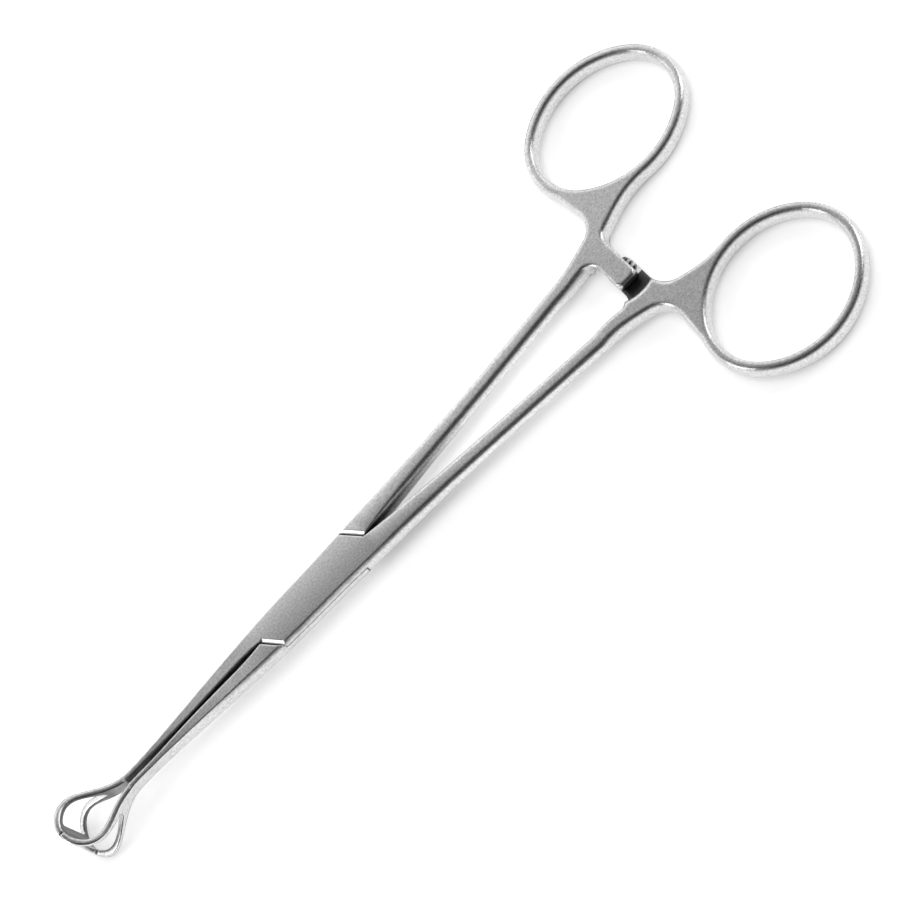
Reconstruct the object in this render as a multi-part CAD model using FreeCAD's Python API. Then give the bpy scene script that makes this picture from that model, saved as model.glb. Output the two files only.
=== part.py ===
import FreeCAD, Part
import math
import os
from FreeCAD import Vector

# Babcock tissue forceps, 160 mm long: two forged steel halves that cross in a box lock
# and turn on one pin, whose ends are ground flush. Millimetres.
# X runs from the jaws (-X) to the finger rings (+X), Y across the handles and Z through
# the thickness. The origin is on the pin's axis, at the lock's flat underside.
# Each shape is built about the mid-plane, and lifted by half the lock's thickness at the end.

# Box lock: plate of the female half, tongue of the male half, pin
lock_half_height = 1.7
lock_half_length = 12.1
lock_grinding = 0.05
shoulder_angle = math.radians(37.5)
shoulder_gap = 0.10
wide_bevel = 0.62
narrow_bevel = 0.22
bevel_depth = 0.50
tongue_half_height = 0.62
slot_clearance = 0.05
slot_end_gap = 0.20
pin_radius = 1.5
pin_clearance = 0.04

# Outer flat edge of the closed pair along X: place, half width, side bulge, half height
proud_height = lock_half_height + lock_grinding
tip_reach = 57.2
jaw_root_back = 13.2
neck_half_height = 1.3
lock_end_x = 17.0
lock_end_half_width = 3.80
lock_end_bulge = 0.65
lock_end_half_height = lock_half_height - 0.03
jaw_arm = tip_reach - jaw_root_back - lock_end_x
billet_stations = [
    (-lock_end_x - jaw_arm, 1.33, 0.03, neck_half_height),
    (-lock_end_x - 0.78 * jaw_arm, 1.35, 0.20, neck_half_height),
    (-lock_end_x - 0.59 * jaw_arm, 1.62, 0.30, 1.38),
    (-lock_end_x - 0.24 * jaw_arm, 2.25, 0.50, 1.58),
    (-lock_end_x, 2.65, 0.60, lock_end_half_height),
    (-10.0, 3.00, 0.70, proud_height),
    (0.0, 3.25, 0.70, proud_height),
    (10.0, 3.55, 0.70, proud_height),
    (lock_end_x, lock_end_half_width, lock_end_bulge, lock_end_half_height),
]

# Space between the arms: place, half gap at the flats, convexity of the arms' inner sides
crotch_half_gap = 0.12
crotch_bulge = 0.05
handle_gap_end = 0.85
handle_gap_bulge = 0.40
crotch_flare = 2.9
jaw_gap_stations = [
    (-lock_half_length, crotch_half_gap, crotch_bulge),
    (-lock_half_length - crotch_flare, 0.40, 0.18),
    (-lock_end_x - 0.19 * jaw_arm, 0.42, 0.20),
    (-lock_end_x - 0.56 * jaw_arm, 0.34, 0.16),
    (-lock_end_x - 1.07 * jaw_arm, 0.26, 0.10),
]

# Finger rings: ovals of one section; the female half's is a little wider and set lower
ring_centre_x = {"female": 87.05, "male": 87.45}
ring_centre_y = {"female": 23.0, "male": 22.3}
ring_centre = {name: Vector(x, ring_centre_y[name], 0) for name, x in ring_centre_x.items()}
ring_half_length = 14.2
ring_half_width = {"female": 12.35, "male": 11.6}
ring_end_roundness = 0.85
ring_lean = math.radians(4.0)
ring_half_height = 1.8
ring_flat_half = 0.55
ring_bulge = 0.60

# Shanks from the lock to the rings: place, inner and outer flat edge, bulge, half height.
# Tapered lengths first, then the bend into the ring, whose wide end is forged proud, and
# ground flat with the ring and the ratchet arm.
ring_grinding = 0.05
ring_ground_x = 66.0
ring_proud = ring_half_height + ring_grinding
shank_half_height = 1.25
taper_stations = [
    (28.5, 2.12, 4.26, 0.62, 1.45),
    (43.0, 3.40, 5.32, 0.58, shank_half_height),
]
bend_stations = [
    (61.0, 5.02, 6.88, 0.68, 1.47),
    (67.0, 5.45, 7.62, 0.70, ring_proud),
    (72.0, 6.90, 9.15, 0.65, ring_proud),
    (77.0, 8.80, 10.70, 0.60, ring_proud),
]
shank_end_x = 85.5
shank_end_width = 1.1

# Web between shank and ring, with a hollow round corner
web_corner_from_ring = 18.4
web_corner_y = 13.2
web_corner_radius = 4.9
web_corner_turn = 85
web_side_angle = 5.5
web_side_length = 8.4
web_depth = 2.0
web_core = [(72.4, 8.4), (78.0, 9.8), (86.0, 11.0), (86.0, 16.5), (74.6, 18.5), (75.0, 13.0)]

# Jaws: a strip of even thickness, bowed out and closed again at the tip bar. Places along
# the jaws are counted back from the tip.
jaw_strip = 0.95
jaw_bow_half_width = 5.0
jaw_middle_line = [
    (19.2, 0.92),
    (13.7, 0.88),
    (9.9, 1.95),
    (7.0, 3.60),
    (4.2, jaw_bow_half_width - jaw_strip / 2),
    (1.95, 3.50),
    (0.8, 1.75),
]
jaw_tip_half_height = 5.1
jaw_flare_back = 12.4
jaw_waist_back = 6.7
jaw_waist_half_height = 2.2
jaw_shoulder_back = 0.9
jaw_shoulder_half_height = 4.9

# Window in each jaw: a triangle on its side, cut square to the strip at the tip bar
window_apex_back = 10.1
window_slope = 0.425
window_corner = 0.6
bar_inner_back = 1.65
bar_inner_y = 1.45
bar_angle = math.radians(155)

# Gripping faces of the tip bars: fine grooves
tip_gap = 0.04
tip_groove_pitch = 0.32
tip_groove_depth = 0.12

# Ratchet arms: one above the other, with saw teeth that face each other
ratchet_x = {"female": 71.75, "male": 71.35}
ratchet_width = {"female": 4.8, "male": 3.9}
ratchet_reach = 2.4
ratchet_half_gap = 0.05
ratchet_root_depth = 0.05
ratchet_left_fillet = 2.6
ratchet_right_fillet = {"female": 4.4, "male": 3.0}
ratchet_end_radius = 1.1
ratchet_step_radius = 7.0
ratchet_step_y = 5.7
tooth_pitch = 1.15
tooth_depth = 0.45
tooth_crest = 0.12
tooth_start = 0.45
tooth_count = 3

# Reach of cutting tools past the metal
beyond = 60.0
tool_half_width = 10.0
tool_depth = 2.0


def bar_section(x, inner, outer, inner_bulge, outer_bulge, half_height):
    """Closed wire of a bar cut across X: flat top and bottom, convex sides."""
    top_inner = Vector(x, inner, half_height)
    top_outer = Vector(x, outer, half_height)
    low_outer = Vector(x, outer, -half_height)
    low_inner = Vector(x, inner, -half_height)
    outer_side = Part.Arc(top_outer, Vector(x, outer + outer_bulge, 0), low_outer).toShape()
    inner_side = Part.Arc(low_inner, Vector(x, inner - inner_bulge, 0), top_inner).toShape()
    top = Part.makeLine(top_inner, top_outer)
    low = Part.makeLine(low_outer, low_inner)
    return Part.Wire([top, outer_side, low, inner_side])


def gap_section(x, half_gap, hollow, half_height):
    """Closed wire of the space between the arms; its hollow sides leave the arms convex."""
    above = 2 * lock_half_height
    right = [Vector(x, half_gap, half_height), Vector(x, half_gap, above)]
    left = [Vector(x, -half_gap, above), Vector(x, -half_gap, half_height)]
    points = right + left
    low = [Vector(p.x, -p.y, -p.z) for p in points]
    edges = [Part.makeLine(a, b) for a, b in zip(points, points[1:])]
    edges.append(Part.Arc(points[-1], Vector(x, hollow - half_gap, 0), low[0]).toShape())
    edges += [Part.makeLine(a, b) for a, b in zip(low, low[1:])]
    edges.append(Part.Arc(low[-1], Vector(x, half_gap - hollow, 0), points[0]).toShape())
    return Part.Wire(edges)


def value_at(stations, x, column):
    """One column of a list of stations at x, on straight lines between them."""
    for near, away in zip(stations, stations[1:]):
        if near[0] <= x <= away[0]:
            share = (x - near[0]) / (away[0] - near[0])
            return near[column] + (away[column] - near[column]) * share
    return stations[0][column] if x < stations[0][0] else stations[-1][column]


def prism(points, low, high):
    """Upright prism over a polygon in the XY plane."""
    corners = [Vector(x, y, low) for x, y in points]
    face = Part.Face(Part.makePolygon(corners + corners[:1]))
    return face.extrude(Vector(0, 0, high - low))


def mirror_y(shape):
    return shape.mirror(Vector(0, 0, 0), Vector(0, 1, 0))


def half_turn(shape):
    """The other half's copy of a shape: turned over about the X axis."""
    return shape.rotated(Vector(0, 0, 0), Vector(1, 0, 0), 180)


def rounded_wire(points, radii):
    """Closed wire through corner points, each rounded by its own radius."""
    count = len(points)
    edges = []
    ends = []
    for i, point in enumerate(points):
        before = (points[i - 1] - point).normalize()
        after = (points[(i + 1) % count] - point).normalize()
        half = before.getAngle(after) / 2
        reach = radii[i] / math.tan(half)
        start = point + before * reach
        end = point + after * reach
        middle = (before + after).normalize()
        depth = radii[i] / math.sin(half) - radii[i]
        ends.append((start, point + middle * depth, end))
    for i, (start, middle, end) in enumerate(ends):
        if radii[i] > 0:
            edges.append(Part.Arc(start, middle, end).toShape())
        edges.append(Part.makeLine(end, ends[(i + 1) % count][0]))
    return Part.Wire(edges)


# Closed pair around the lock, with the spaces between the arms cut out
def closed_pair():
    sections = [bar_section(x, -w, w, b, b, h) for x, w, b, h in billet_stations]
    pair = Part.makeLoft(sections, True, False)
    length = 2 * lock_half_length + 6
    for level in (lock_half_height, -lock_half_height - tool_depth):
        corner = Vector(-length / 2, -tool_half_width, level)
        pair = pair.cut(Part.makeBox(length, 2 * tool_half_width, tool_depth, corner))
    handle_gap_stations = [
        (lock_half_length, crotch_half_gap, crotch_bulge),
        (lock_end_x, handle_gap_end, handle_gap_bulge),
    ]
    for stations in (jaw_gap_stations, handle_gap_stations):
        sections = []
        for x, gap, hollow in stations:
            sections.append(gap_section(x, gap, hollow, value_at(billet_stations, x, 3)))
        pair = pair.cut(Part.makeLoft(sections, True, False))
    return pair


# Plan of the oblique shoulders: each is a line at shoulder_distance from the pin
shoulder_distance = lock_half_length * math.cos(shoulder_angle)
shoulder_run = Vector(-math.sin(shoulder_angle), math.cos(shoulder_angle), 0)
shoulder_out = Vector(math.cos(shoulder_angle), math.sin(shoulder_angle), 0)


def half_plan(offset):
    """Plan of the female half: upper left of the lock, its plate, lower right of the lock."""
    crotch = Vector(lock_half_length, 0, 0) + shoulder_out * offset
    foot = crotch + shoulder_run * beyond
    points = [crotch, foot, Vector(-beyond, foot.y, 0), Vector(-beyond, 0, 0)]
    points += [Vector(-p.x, -p.y, 0) for p in points]
    return [(p.x, p.y) for p in points]


def tongue_plan(inset):
    """Plan between the two ends of the slot, moved in by an inset."""
    out = Vector(shoulder_out.x, -shoulder_out.y, 0)
    run = Vector(-shoulder_run.x, shoulder_run.y, 0)
    middle = out * (shoulder_distance - inset)
    points = [middle + run * beyond, middle - run * beyond]
    points += [Vector(-p.x, -p.y, 0) for p in points]
    return [(p.x, p.y) for p in points]


def shoulder_bevels(offset, ring_side, jaw_side):
    """Wedges that bevel both shoulders' edges, top and bottom; a negative width goes inwards."""
    wedges = []
    for side, width in ((1, ring_side), (-1, jaw_side)):
        for level in (1, -1):
            crotch = (Vector(lock_half_length, 0, 0) + shoulder_out * offset) * side
            edge = crotch + Vector(0, 0, lock_half_height * level)
            back = edge + shoulder_out * (width * side)
            down = edge - Vector(0, 0, bevel_depth * level)
            lift = Vector(0, 0, level)
            wire = Part.makePolygon([edge + lift, back + lift, back, down, edge + lift])
            wedges.append(Part.Face(wire).extrude(shoulder_run * (lock_half_length * side)))
    return wedges


# Handle of one half, on the +Y side: shank, web, finger ring and ratchet arm
def to_ring(shape, name):
    """Lean a shape built about the origin, and carry it to the ring's centre."""
    shape.rotate(Vector(0, 0, 0), Vector(0, 0, 1), -math.degrees(ring_lean))
    shape.translate(ring_centre[name])
    return shape


def ring(name):
    half_width = ring_half_width[name]
    end_radius = ring_end_roundness * half_width
    end_x = ring_half_length - end_radius
    side_radius = (end_x ** 2 + half_width ** 2 - end_radius ** 2) / (2 * (half_width - end_radius))
    side_y = half_width - side_radius
    joint = math.atan2(-side_y, end_x)
    section = bar_section(0, -ring_flat_half, ring_flat_half, ring_bulge, ring_bulge, ring_proud)
    arcs = [
        (end_x, 0, end_radius, -joint, joint),
        (0, side_y, side_radius, joint, math.pi - joint),
        (-end_x, 0, end_radius, math.pi - joint, math.pi + joint),
        (0, -side_y, side_radius, math.pi + joint, 2 * math.pi - joint),
    ]
    pieces = []
    for x, y, radius, start, end in arcs:
        profile = Part.Face(section)
        profile.translate(Vector(0, radius, 0))
        profile.rotate(Vector(0, 0, 0), Vector(0, 0, 1), math.degrees(start) - 90)
        piece = profile.revolve(Vector(0, 0, 0), Vector(0, 0, 1), math.degrees(end - start))
        piece.translate(Vector(x, y, 0))
        pieces.append(piece)
    return to_ring(pieces[0].fuse(pieces[1:]).removeSplitter(), name)


def ring_hole(name):
    """Upright tool along the ring's centre line, which keeps the web out of the hole."""
    oval = Part.Ellipse(Vector(0, 0, 0), ring_half_length, ring_half_width[name])
    tool = Part.Face(Part.Wire(oval.toShape())).extrude(Vector(0, 0, 4 * ring_half_height))
    tool.translate(Vector(0, 0, -2 * ring_half_height))
    return to_ring(tool, name)


def shank_stations(name):
    """All sections of a shank, as bar_section takes them, from the lock to the ring."""
    ring_edge = ring_centre[name].y - ring_half_width[name] - ring_flat_half
    stations = [
        (lock_end_x, handle_gap_end, lock_end_half_width, handle_gap_bulge, lock_end_bulge,
         lock_end_half_height),
    ]
    for x, inner, outer, bulge, height in taper_stations + bend_stations:
        stations.append((x, inner, outer, bulge, bulge, height))
    stations.append((shank_end_x, ring_edge + 0.05, ring_edge + shank_end_width,
                     ring_bulge - 0.05, 0.1, ring_proud))
    return stations


def shank(name):
    sections = [bar_section(*station) for station in shank_stations(name)]
    bend = len(taper_stations) + 1
    straight = Part.makeLoft(sections[:bend + 1], True, True)
    return straight.fuse(Part.makeLoft(sections[bend:], True, False, False, 3))


def web(name):
    corner_x = ring_centre[name].x - web_corner_from_ring
    inner = web_corner_radius
    lean = math.radians(web_side_angle)
    profile = Part.Face(bar_section(0, inner, inner + web_depth, ring_bulge, 0.05, ring_proud))
    profile.rotate(Vector(0, 0, 0), Vector(0, 0, 1), -90 + web_side_angle)
    side = profile.extrude(Vector(-math.sin(lean), math.cos(lean), 0) * web_side_length)
    sector = profile.revolve(Vector(0, 0, 0), Vector(0, 0, 1), -web_corner_turn)
    outside = sector.fuse(side)
    outside.translate(Vector(corner_x, web_corner_y, 0))
    return outside.fuse(prism(web_core, -ring_proud, ring_proud))


def ratchet_arm(name):
    left = ratchet_x[name] - ratchet_width[name] / 2
    right = ratchet_x[name] + ratchet_width[name] / 2
    end = -ratchet_reach
    hollow_left = ratchet_left_fillet
    hollow_right = ratchet_right_fillet[name]
    low = ratchet_half_gap
    start = left - hollow_left
    stop = right + 0.75 * hollow_right
    stations = shank_stations(name)
    near, corner, away = [
        value_at(stations, x, 1) + ratchet_root_depth for x in (start, right, stop)
    ]
    corners = [
        Vector(start, near + 1.2, 0), Vector(start, near, 0), Vector(left, near, 0),
        Vector(left, end, 0), Vector(right, end, 0), Vector(right, corner, 0),
        Vector(stop, away, 0), Vector(stop, away + 1.0, 0),
    ]
    turn = ratchet_end_radius
    radii = [0, 0, hollow_left - 0.01, turn, turn, hollow_right, 0, 0]
    plan = rounded_wire(corners, radii)
    arm = Part.Face(plan).extrude(Vector(0, 0, 2 * ring_proud))
    arm.translate(Vector(0, 0, -ring_proud))
    step_centre = Vector(ratchet_x[name], ratchet_step_y - ratchet_step_radius, low - 4)
    arm = arm.cut(Part.makeCylinder(ratchet_step_radius, 4, step_centre))
    length = tooth_pitch - tooth_crest
    for tooth in range(tooth_count):
        y = end + tooth_start + tooth * tooth_pitch
        groove = Part.makePolygon([
            Vector(left - 1, y, low - tooth_depth), Vector(left - 1, y, low + tooth_depth),
            Vector(left - 1, y + 2 * length, low - tooth_depth), Vector(left - 1, y, low - tooth_depth),
        ])
        arm = arm.cut(Part.Face(groove).extrude(Vector(right - left + 2, 0, 0)))
    return arm


def handle(name):
    whole = shank(name).fuse(web(name)).cut(ring_hole(name))
    whole = whole.fuse([ring(name), ratchet_arm(name)])
    for level in (ring_half_height, -ring_half_height - tool_depth):
        corner = Vector(ring_ground_x, -tool_half_width, level)
        whole = whole.cut(Part.makeBox(beyond, beyond, tool_depth, corner))
    return whole


# Jaw of one half, on the +Y side
def strip_plan():
    """Face of the bent strip seen from above, of even thickness along its middle line."""
    half = jaw_strip / 2
    points = [Vector(back - tip_reach, y, 0) for back, y in jaw_middle_line]
    points.append(Vector(half - tip_reach, tip_gap, 0))
    middle = Part.BSplineCurve()
    middle.interpolate(Points=points, InitialTangent=Vector(-1, 0, 0), FinalTangent=Vector(0, -1, 0))
    steps = 14
    outer = []
    inner = []
    for step in range(steps + 1):
        place = middle.FirstParameter + (middle.LastParameter - middle.FirstParameter) * step / steps
        along = Vector(*middle.tangent(place)[0]).normalize()
        across = Vector(along.y, -along.x, 0) * half
        outer.append(middle.value(place) + across)
        inner.append(middle.value(place) - across)
    outer_edge = Part.BSplineCurve()
    outer_edge.interpolate(outer)
    inner_edge = Part.BSplineCurve()
    inner_edge.interpolate(inner)
    return Part.Face(Part.Wire([
        outer_edge.toShape(), Part.makeLine(outer[-1], inner[-1]),
        inner_edge.toShape(), Part.makeLine(inner[0], outer[0]),
    ]))


def jaw_side():
    """Plate with the jaw's outline seen from the side, wider towards the tip."""
    neck = neck_half_height - 0.08
    tip = jaw_tip_half_height
    profile = [
        (jaw_middle_line[0][0] + 1, neck), (jaw_flare_back, neck),
        (jaw_waist_back, jaw_waist_half_height),
        (jaw_shoulder_back, jaw_shoulder_half_height), (-1, tip),
    ]
    upper = [Vector(back - tip_reach, -1, z) for back, z in profile]
    lower = [Vector(p.x, p.y, -p.z) for p in reversed(upper)]
    radii = [0, 8, 12, 4, 0]
    outline = rounded_wire(upper + lower, radii + radii[::-1])
    return Part.Face(outline).extrude(Vector(0, 10, 0))


def window_tool():
    """Tool for the window: its front side is square to the strip behind the tip bar."""
    out = Vector(math.cos(bar_angle), math.sin(bar_angle), 0)
    inner = Vector(bar_inner_back - tip_reach, bar_inner_y, 0) - out * 2
    outer = inner + out * 6
    plan = [(inner.x, inner.y), (outer.x, outer.y), (outer.x, 9), (0, 9), (0, inner.y)]
    apex = window_apex_back - tip_reach
    reach = -tip_reach - 3
    height = window_slope * (apex - reach)
    corners = [Vector(apex, -1, 0), Vector(reach, -1, height), Vector(reach, -1, -height)]
    side = Part.Face(rounded_wire(corners, [window_corner, 0, 0]))
    tool = prism(plan, -9, 9).common(side.extrude(Vector(0, 12, 0)))
    front = []
    for edge in tool.Edges:
        ends = [v.Point for v in edge.Vertexes]
        level = abs(ends[0].z - ends[-1].z) < 3 and min(abs(v.z) for v in ends) > 1
        if level and all(abs((v - inner).cross(out).z) < 0.01 for v in ends):
            front.append(edge)
    return tool.makeFillet(window_corner, front)


def jaw():
    strip = strip_plan().extrude(Vector(0, 0, 4 * jaw_tip_half_height))
    strip.translate(Vector(0, 0, -2 * jaw_tip_half_height))
    strip = strip.common(jaw_side()).cut(window_tool())
    middle_x = jaw_strip / 2 - tip_reach
    for groove in (-1, 0, 1):
        x = middle_x + groove * tip_groove_pitch
        deep = tip_groove_depth + tip_gap
        notch = [(x - deep, 0), (x, deep), (x + deep, 0)]
        strip = strip.cut(prism(notch, -9, 9))
    return strip


pair = closed_pair()
female_body = pair.common(prism(half_plan(0), -4, 4))
male_body = pair.cut(prism(half_plan(shoulder_gap), -4, 4))
for wedge in shoulder_bevels(shoulder_gap, wide_bevel, narrow_bevel):
    male_body = male_body.cut(wedge)
for wedge in shoulder_bevels(0, -narrow_bevel, -wide_bevel):
    female_body = female_body.cut(wedge)
slot_half_height = tongue_half_height + slot_clearance
slot = prism(tongue_plan(0), -slot_half_height, slot_half_height)
female_body = female_body.cut(slot)
lock_corner = Vector(-lock_end_x, -tool_half_width, -tool_depth)
lock_box = Part.makeBox(2 * lock_end_x, 2 * tool_half_width, 2 * tool_depth, lock_corner)
tongue = prism(tongue_plan(slot_end_gap), -tongue_half_height, tongue_half_height)
tongue = tongue.common(pair.common(lock_box))

drill_foot = Vector(0, 0, -2 * tool_depth)
hole = Part.makeCylinder(pin_radius, 4 * tool_depth, drill_foot)
bore = Part.makeCylinder(pin_radius + pin_clearance, 4 * tool_depth, drill_foot)
pin = Part.makeCylinder(pin_radius, 2 * lock_half_height, Vector(0, 0, -lock_half_height))

jaw_shape = jaw()
female_handle = half_turn(handle("female"))
male_handle = handle("male")
female_half = female_body.cut(hole).fuse([female_handle, jaw_shape])
male_half = male_body.fuse([tongue, male_handle, mirror_y(jaw_shape)]).cut(bore)

os.makedirs("parts", exist_ok=True)
for name, shape in (("female_half", female_half), ("male_half", male_half), ("box_lock_pin", pin)):
    shape = shape.removeSplitter()
    shape.translate(Vector(0, 0, lock_half_height))
    shape.exportStep("parts/" + name + ".step")
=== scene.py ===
import math

import bpy
from mathutils import Matrix, Vector

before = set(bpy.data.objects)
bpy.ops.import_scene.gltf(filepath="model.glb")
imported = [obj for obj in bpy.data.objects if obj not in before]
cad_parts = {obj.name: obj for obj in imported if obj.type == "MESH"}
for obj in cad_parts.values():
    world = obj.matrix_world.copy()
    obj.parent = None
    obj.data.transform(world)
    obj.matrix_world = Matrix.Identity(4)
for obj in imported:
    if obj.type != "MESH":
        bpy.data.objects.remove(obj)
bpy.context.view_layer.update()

bpy.context.scene.view_settings.view_transform = "Standard"


# Camera
# The forceps lie on a table and are seen from the female half's side, about 31 degrees
# off straight down, through a long lens turned so that the jaws point to the lower left.
MM = 0.001
camera_place = Vector((62.93, -281.00, 465.22)) * MM
camera_aim = Vector((31.67, 0.49, 1.70)) * MM
picture_turn = math.radians(45.99)

looking = (camera_aim - camera_place).normalized()
level = Vector((1, 0, 0))
level = (level - looking * looking.dot(level)).normalized()
upright = level.cross(looking)
picture_right = level * math.cos(picture_turn) - upright * math.sin(picture_turn)
picture_up = level * math.sin(picture_turn) + upright * math.cos(picture_turn)
camera_data = bpy.data.cameras.new("camera")
camera_data.sensor_width = 36
camera_data.lens = 134.17
camera_data.clip_start = 0.01
camera_data.clip_end = 10
camera = bpy.data.objects.new("camera", camera_data)
turn = Matrix((picture_right, picture_up, -looking)).transposed().to_4x4()
camera.matrix_world = Matrix.Translation(camera_place) @ turn
bpy.context.scene.collection.objects.link(camera)
bpy.context.scene.camera = camera


# Table
# A plain white table top. The instrument rests on the jaws' lower corners and on the
# undersides of its finger rings, so the table falls away a little towards the jaws.
def node_material(name):
    """An empty node material, its nodes and links, and its output node."""
    material = bpy.data.materials.new(name)
    material.use_nodes = True
    material.node_tree.nodes.clear()
    output = material.node_tree.nodes.new("ShaderNodeOutputMaterial")
    return material, material.node_tree.nodes, material.node_tree.links, output


jaw_foot = Vector((-57.0, 0, -3.42)) * MM
ring_foot = Vector((101.0, 0, -0.12)) * MM
table_reach = 1.6
along_table = (ring_foot - jaw_foot).normalized()
across_table = Vector((0, 1, 0))
middle = (jaw_foot + ring_foot) / 2
corners = [middle + along_table * (x * table_reach) + across_table * (y * table_reach)
           for x, y in ((-1, -1), (1, -1), (1, 1), (-1, 1))]
table_mesh = bpy.data.meshes.new("table_top")
table_mesh.from_pydata(corners, [], [(0, 1, 2, 3)])
table = bpy.data.objects.new("table_top", table_mesh)
bpy.context.scene.collection.objects.link(table)

# A little glow, for the camera and in the steel, keeps the table white to its edges.
paint_white = 0.86
glow_strength = 0.44
material, nodes, links, output = node_material("white_table")
paint = nodes.new("ShaderNodeBsdfDiffuse")
paint.inputs["Color"].default_value = (paint_white, paint_white, paint_white, 1)
glow = nodes.new("ShaderNodeEmission")
glow.inputs["Color"].default_value = (1, 1, 1, 1)
path = nodes.new("ShaderNodeLightPath")
seen = nodes.new("ShaderNodeMath")
seen.operation = "MAXIMUM"
fill = nodes.new("ShaderNodeMath")
fill.operation = "MULTIPLY"
fill.inputs[1].default_value = glow_strength
links.new(path.outputs["Is Camera Ray"], seen.inputs[0])
links.new(path.outputs["Is Glossy Ray"], seen.inputs[1])
links.new(seen.outputs[0], fill.inputs[0])
links.new(fill.outputs[0], glow.inputs["Strength"])
both = nodes.new("ShaderNodeAddShader")
links.new(paint.outputs[0], both.inputs[0])
links.new(glow.outputs[0], both.inputs[1])
links.new(both.outputs[0], output.inputs["Surface"])
table_mesh.materials.append(material)


# Studio light
# A wide soft box behind lights the far edges and one at each end the lock's shoulders. A
# dim one in the ceiling greys the flats. One overhead lights the table, not the steel.
def soft_box(name, place, width, height, brightness):
    """A rectangular lamp at a place in metres, turned to the lock; brightness 1 is white."""
    data = bpy.data.lights.new(name, "AREA")
    data.shape = "RECTANGLE"
    data.size = width
    data.size_y = height
    data.energy = brightness * math.pi * width * height
    lamp = bpy.data.objects.new(name, data)
    lamp.location = place
    lamp.rotation_euler = Vector(place).to_track_quat("Z", "Y").to_euler()
    bpy.context.scene.collection.objects.link(lamp)
    return lamp


soft_box("back_soft_box", (0.02, 0.86, 0.52), width=3.8, height=0.85, brightness=1.25)
soft_box("jaw_side_soft_box", (-0.88, 0.05, 0.52), width=0.5, height=0.5, brightness=4.0)
soft_box("ring_side_soft_box", (0.95, 0.05, 0.52), width=0.5, height=0.5, brightness=4.0)
soft_box("ceiling_soft_box", (0.05, 0.62, 1.03), width=1.6, height=0.60, brightness=0.12)
overhead = soft_box("table_soft_box", (0.05, 0.0, 1.2), width=0.9, height=0.9, brightness=2.0)
overhead.visible_glossy = False

# The room is white to the camera. To the steel it is dark, and its walls, up to where the
# upward part of a direction passes wall_top, are a little lighter than its ceiling.
wall_light, ceiling_light = 0.10, 0.04
wall_top, ceiling_edge = 0.42, 0.66
world = bpy.data.worlds.new("studio")
bpy.context.scene.world = world
world.use_nodes = True
nodes, links = world.node_tree.nodes, world.node_tree.links
nodes.clear()
output = nodes.new("ShaderNodeOutputWorld")
background = nodes.new("ShaderNodeBackground")
path = nodes.new("ShaderNodeLightPath")
direction = nodes.new("ShaderNodeTexCoord")
height = nodes.new("ShaderNodeSeparateXYZ")
walls = nodes.new("ShaderNodeMapRange")
walls.inputs["From Min"].default_value = wall_top
walls.inputs["From Max"].default_value = ceiling_edge
walls.inputs["To Min"].default_value = wall_light
walls.inputs["To Max"].default_value = ceiling_light
room = nodes.new("ShaderNodeMapRange")
room.inputs["To Max"].default_value = 1.0
links.new(direction.outputs["Generated"], height.inputs[0])
links.new(height.outputs["Z"], walls.inputs["Value"])
links.new(walls.outputs["Result"], room.inputs["To Min"])
links.new(path.outputs["Is Camera Ray"], room.inputs["Value"])
links.new(room.outputs["Result"], background.inputs["Strength"])
links.new(background.outputs[0], output.inputs["Surface"])


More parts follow.
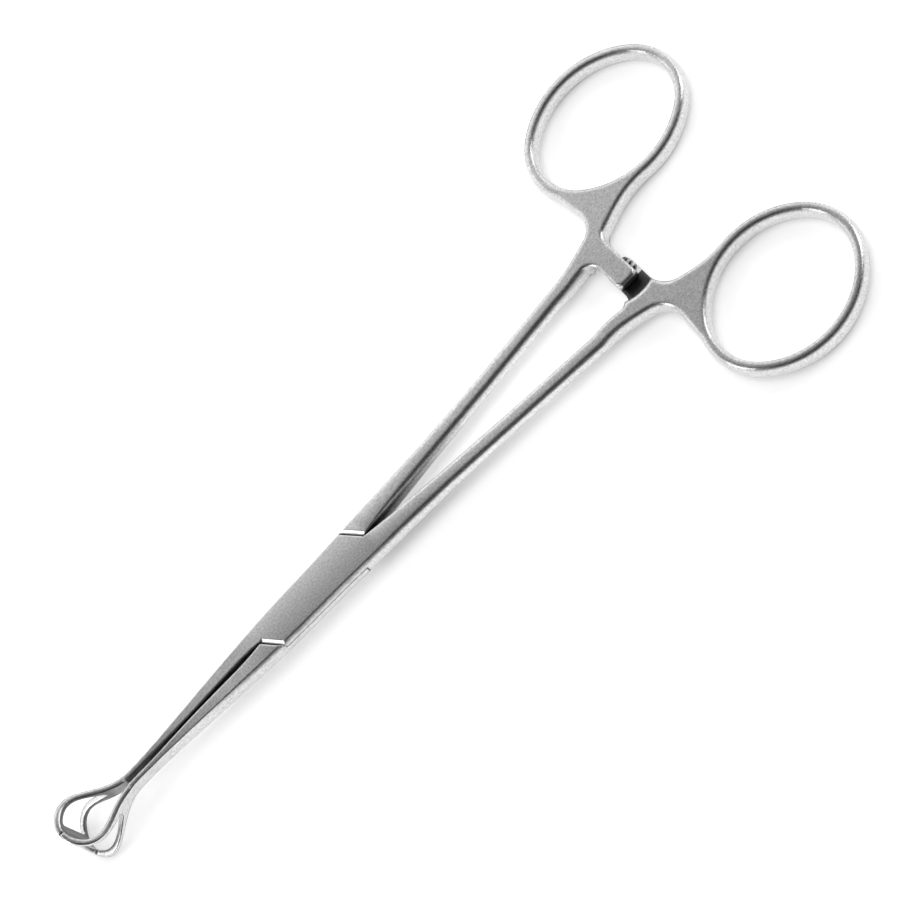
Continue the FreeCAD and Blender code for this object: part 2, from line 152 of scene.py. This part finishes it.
# Forged halves
# Two stainless steel halves, forged and ground, then given a satin finish: a fine even
# speckle, smoother along the edges, with a painted highlight there and painted shade in the
# gaps.
def satin_steel(name, edge_scale):
    """Satin steel in Object coordinates; edge_scale makes its soft edges wider."""
    material, nodes, links, output = node_material(name)

    def node(kind, **inputs):
        """A new node, with the inputs of these names set; _ stands for a space."""
        made = nodes.new("ShaderNode" + kind)
        for label, value in inputs.items():
            made.inputs[label.replace("_", " ")].default_value = value
        return made

    def joined(kind, operation, *sources):
        """A maths node of this kind, fed by the sources in their order."""
        made = node(kind)
        made.operation = operation
        for source, socket in zip(sources, made.inputs):
            links.new(source, socket)
        return made

    def maths(operation, *sources):
        return joined("Math", operation, *sources).outputs[0]

    def product(first, *others):
        for other in others:
            first = maths("MULTIPLY", first, other)
        return first

    def spread(source, low, high, to_low=0.0, to_high=1.0):
        """The source value taken from one range to another, and held inside it."""
        ranged = node("MapRange", From_Min=low, From_Max=high, To_Min=to_low, To_Max=to_high)
        links.new(source, ranged.inputs["Value"])
        return ranged.outputs["Result"]

    def along(start, stop, to_start=0.0, to_stop=1.0):
        """A value that changes between two places on X, given in millimetres."""
        return spread(x, start * MM, stop * MM, to_start, to_stop)

    def between(source, low, high, fade):
        """1 between two places in millimetres, and 0 past a short fade."""
        return product(spread(source, (low - fade) * MM, low * MM),
                       spread(source, high * MM, (high + fade) * MM, 1.0, 0.0))

    place = node("TexCoord").outputs["Object"]
    split_place = node("SeparateXYZ")
    links.new(place, split_place.inputs[0])
    x, y, z = split_place.outputs
    true_side = node("NewGeometry").outputs["True Normal"]
    split_side = node("SeparateXYZ")
    links.new(true_side, split_side.inputs[0])
    side_x, side_y, side_z = split_side.outputs
    which_half = maths("SIGN", y)

    # Satin: a fine speckle, a little longer along the instrument, and slow clouds.
    noise_low, noise_high = 0.3, 0.7
    speckle_place = node("Mapping", Scale=(0.75, 1.0, 1.0))
    links.new(place, speckle_place.inputs["Vector"])
    speckle_noise = node("TexNoise", Scale=3800.0, Detail=1.0, Roughness=0.5)
    links.new(speckle_place.outputs[0], speckle_noise.inputs["Vector"])
    speckle = speckle_noise.outputs["Fac"]
    cloud_noise = node("TexNoise", Scale=90.0, Detail=3.0, Roughness=0.5)
    links.new(place, cloud_noise.inputs["Vector"])
    clouds = cloud_noise.outputs["Fac"]

    # Soft edges: tight at the lock, wider on shanks, rings and jaws, none round the pin.
    lock_radius, shank_radius = 0.35 * MM, 0.90 * MM
    ring_factor, jaw_factor = 1.1, 1.7
    pin_reach = 2.2 * MM
    flat_place = node("Mapping", Scale=(1.0, 1.0, 0.0))
    links.new(place, flat_place.inputs["Vector"])
    from_pin = joined("VectorMath", "LENGTH", flat_place.outputs[0]).outputs["Value"]
    off_pin = spread(from_pin, pin_reach, pin_reach + 0.1 * MM, 0.0, edge_scale)
    soft_edge = node("Bevel")
    soft_edge.samples = 8
    radius = product(along(12.5, 22, lock_radius, shank_radius),
                     along(60, 74, 1.0, ring_factor),
                     along(-46, -38, jaw_factor, 1.0), off_pin)
    links.new(radius, soft_edge.inputs["Radius"])
    soft_side = soft_edge.outputs[0]
    # Where the soft edge turns the normal: smoother, and painted a little brighter as a
    # highlight.
    unturned = joined("VectorMath", "DOT_PRODUCT", soft_side, true_side).outputs["Value"]
    highlit_rubbed_edge = spread(unturned, 0.97, 0.85)

    # Gaps: painted shade, darker where other steel is near, seen from further off in jaws and
    # past the lock.
    gap_shade = 0.14
    gap = node("AmbientOcclusion")
    gap.samples = 6
    past_lock = product(along(10, 14, 0.0, 5.0 * MM), along(25, 50, 1.0, 0.0))
    links.new(maths("ADD", along(-44, -38, 4.0 * MM, 2.5 * MM), past_lock),
              gap.inputs["Distance"])
    open_to_light = spread(gap.outputs["AO"], 0.15, 0.62, gap_shade, 1.0)

    # The ratchet's step and saw teeth, painted dark as shade: level faces near the middle
    # plane of the arms.
    teeth_shade = 0.12
    teeth = product(between(x, 66.5, 76, 0.5), between(maths("ABSOLUTE", y), 1.9, 6.4, 0.1),
                    between(z, 1.10, 2.30, 0.05), spread(maths("ABSOLUTE", side_z), 0.3, 0.35))

    # Painted shade on the jaws' inner sides and the backs of the tip bars, which see only each
    # other.
    inside_shade = 0.22
    outward = product(which_half, side_y)
    inner_side = product(spread(outward, -0.35, -0.55), along(-44, -47.5))
    facing_back = product(spread(side_x, 0.5, 0.7), along(-51, -52))
    inside = maths("MAXIMUM", inner_side, facing_back)

    # Colour and roughness: painted light makes the shanks lighter and the webs and rings a bit
    # darker; the soft edges get a painted highlight and less roughness.
    tint = product(spread(speckle, noise_low, noise_high, 0.80, 1.16),
                   spread(clouds, noise_low, noise_high, 0.70, 0.76))
    painted_light = product(along(16, 36, 1.0, 1.15), along(52, 68, 1.0, 0.89),
                     spread(highlit_rubbed_edge, 0.0, 1.0, 1.0, 1.06))
    # Painted shade in the gaps, on the ratchet teeth and on the jaws' insides.
    painted_shade = product(open_to_light, spread(teeth, 0.0, 1.0, 1.0, teeth_shade),
                     spread(inside, 0.0, 1.0, 1.0, inside_shade))
    rough = product(spread(speckle, noise_low, noise_high, 0.31, 0.33),
                    spread(highlit_rubbed_edge, 0.0, 1.0, 1.0, 0.75))

    # Crowned tops: the flats lean outwards by up to 3 degrees, and the jaws' tops towards
    # the female half's side. shank_line is the middle of a shank, half_width half its top.
    lean = 0.05
    female_jaw_lean, male_jaw_lean = -0.08, -0.05
    jaw_tilt = product(along(-22, -40), spread(z, 1.8 * MM, 2.2 * MM),
                       spread(which_half, -1.0, 1.0, female_jaw_lean, male_jaw_lean))
    shank_line = product(along(12, 61, 1.7 * MM, 5.95 * MM), along(12, 13))
    half_width = along(11, 14, 4.0 * MM, 1.2 * MM)
    off_line = maths("SUBTRACT", y, product(which_half, shank_line))
    top_tilt = product(spread(maths("DIVIDE", off_line, half_width), -1.0, 1.0, -lean, lean),
                       along(60, 66, 1.0, 0.0), along(-12, -16, 1.0, 0.0),
                       spread(side_z, 0.8, 0.95))
    crown = node("CombineXYZ")
    links.new(maths("ADD", jaw_tilt, top_tilt), crown.inputs["Y"])
    crowned = joined("VectorMath", "ADD", soft_side, crown.outputs[0]).outputs[0]
    unit = joined("VectorMath", "NORMALIZE", crowned).outputs[0]
    bump = node("Bump", Strength=0.03, Distance=0.02 * MM)
    links.new(speckle, bump.inputs["Height"])
    links.new(unit, bump.inputs["Normal"])

    shader = node("BsdfPrincipled", Metallic=1.0)
    links.new(product(tint, painted_light, painted_shade), shader.inputs["Base Color"])
    links.new(rough, shader.inputs["Roughness"])
    links.new(bump.outputs[0], shader.inputs["Normal"])
    links.new(shader.outputs[0], output.inputs["Surface"])
    return material


steel = satin_steel("satin_steel", edge_scale=1.0)
for name in ("female_half", "male_half"):
    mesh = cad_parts[name].data
    mesh.materials.clear()
    mesh.materials.append(steel)


# Pin
# A short steel pin through the box lock, riveted over and ground flush on both sides.
pin_steel = satin_steel("pin_steel", edge_scale=0.1)
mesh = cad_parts["box_lock_pin"].data
mesh.materials.clear()
mesh.materials.append(pin_steel)
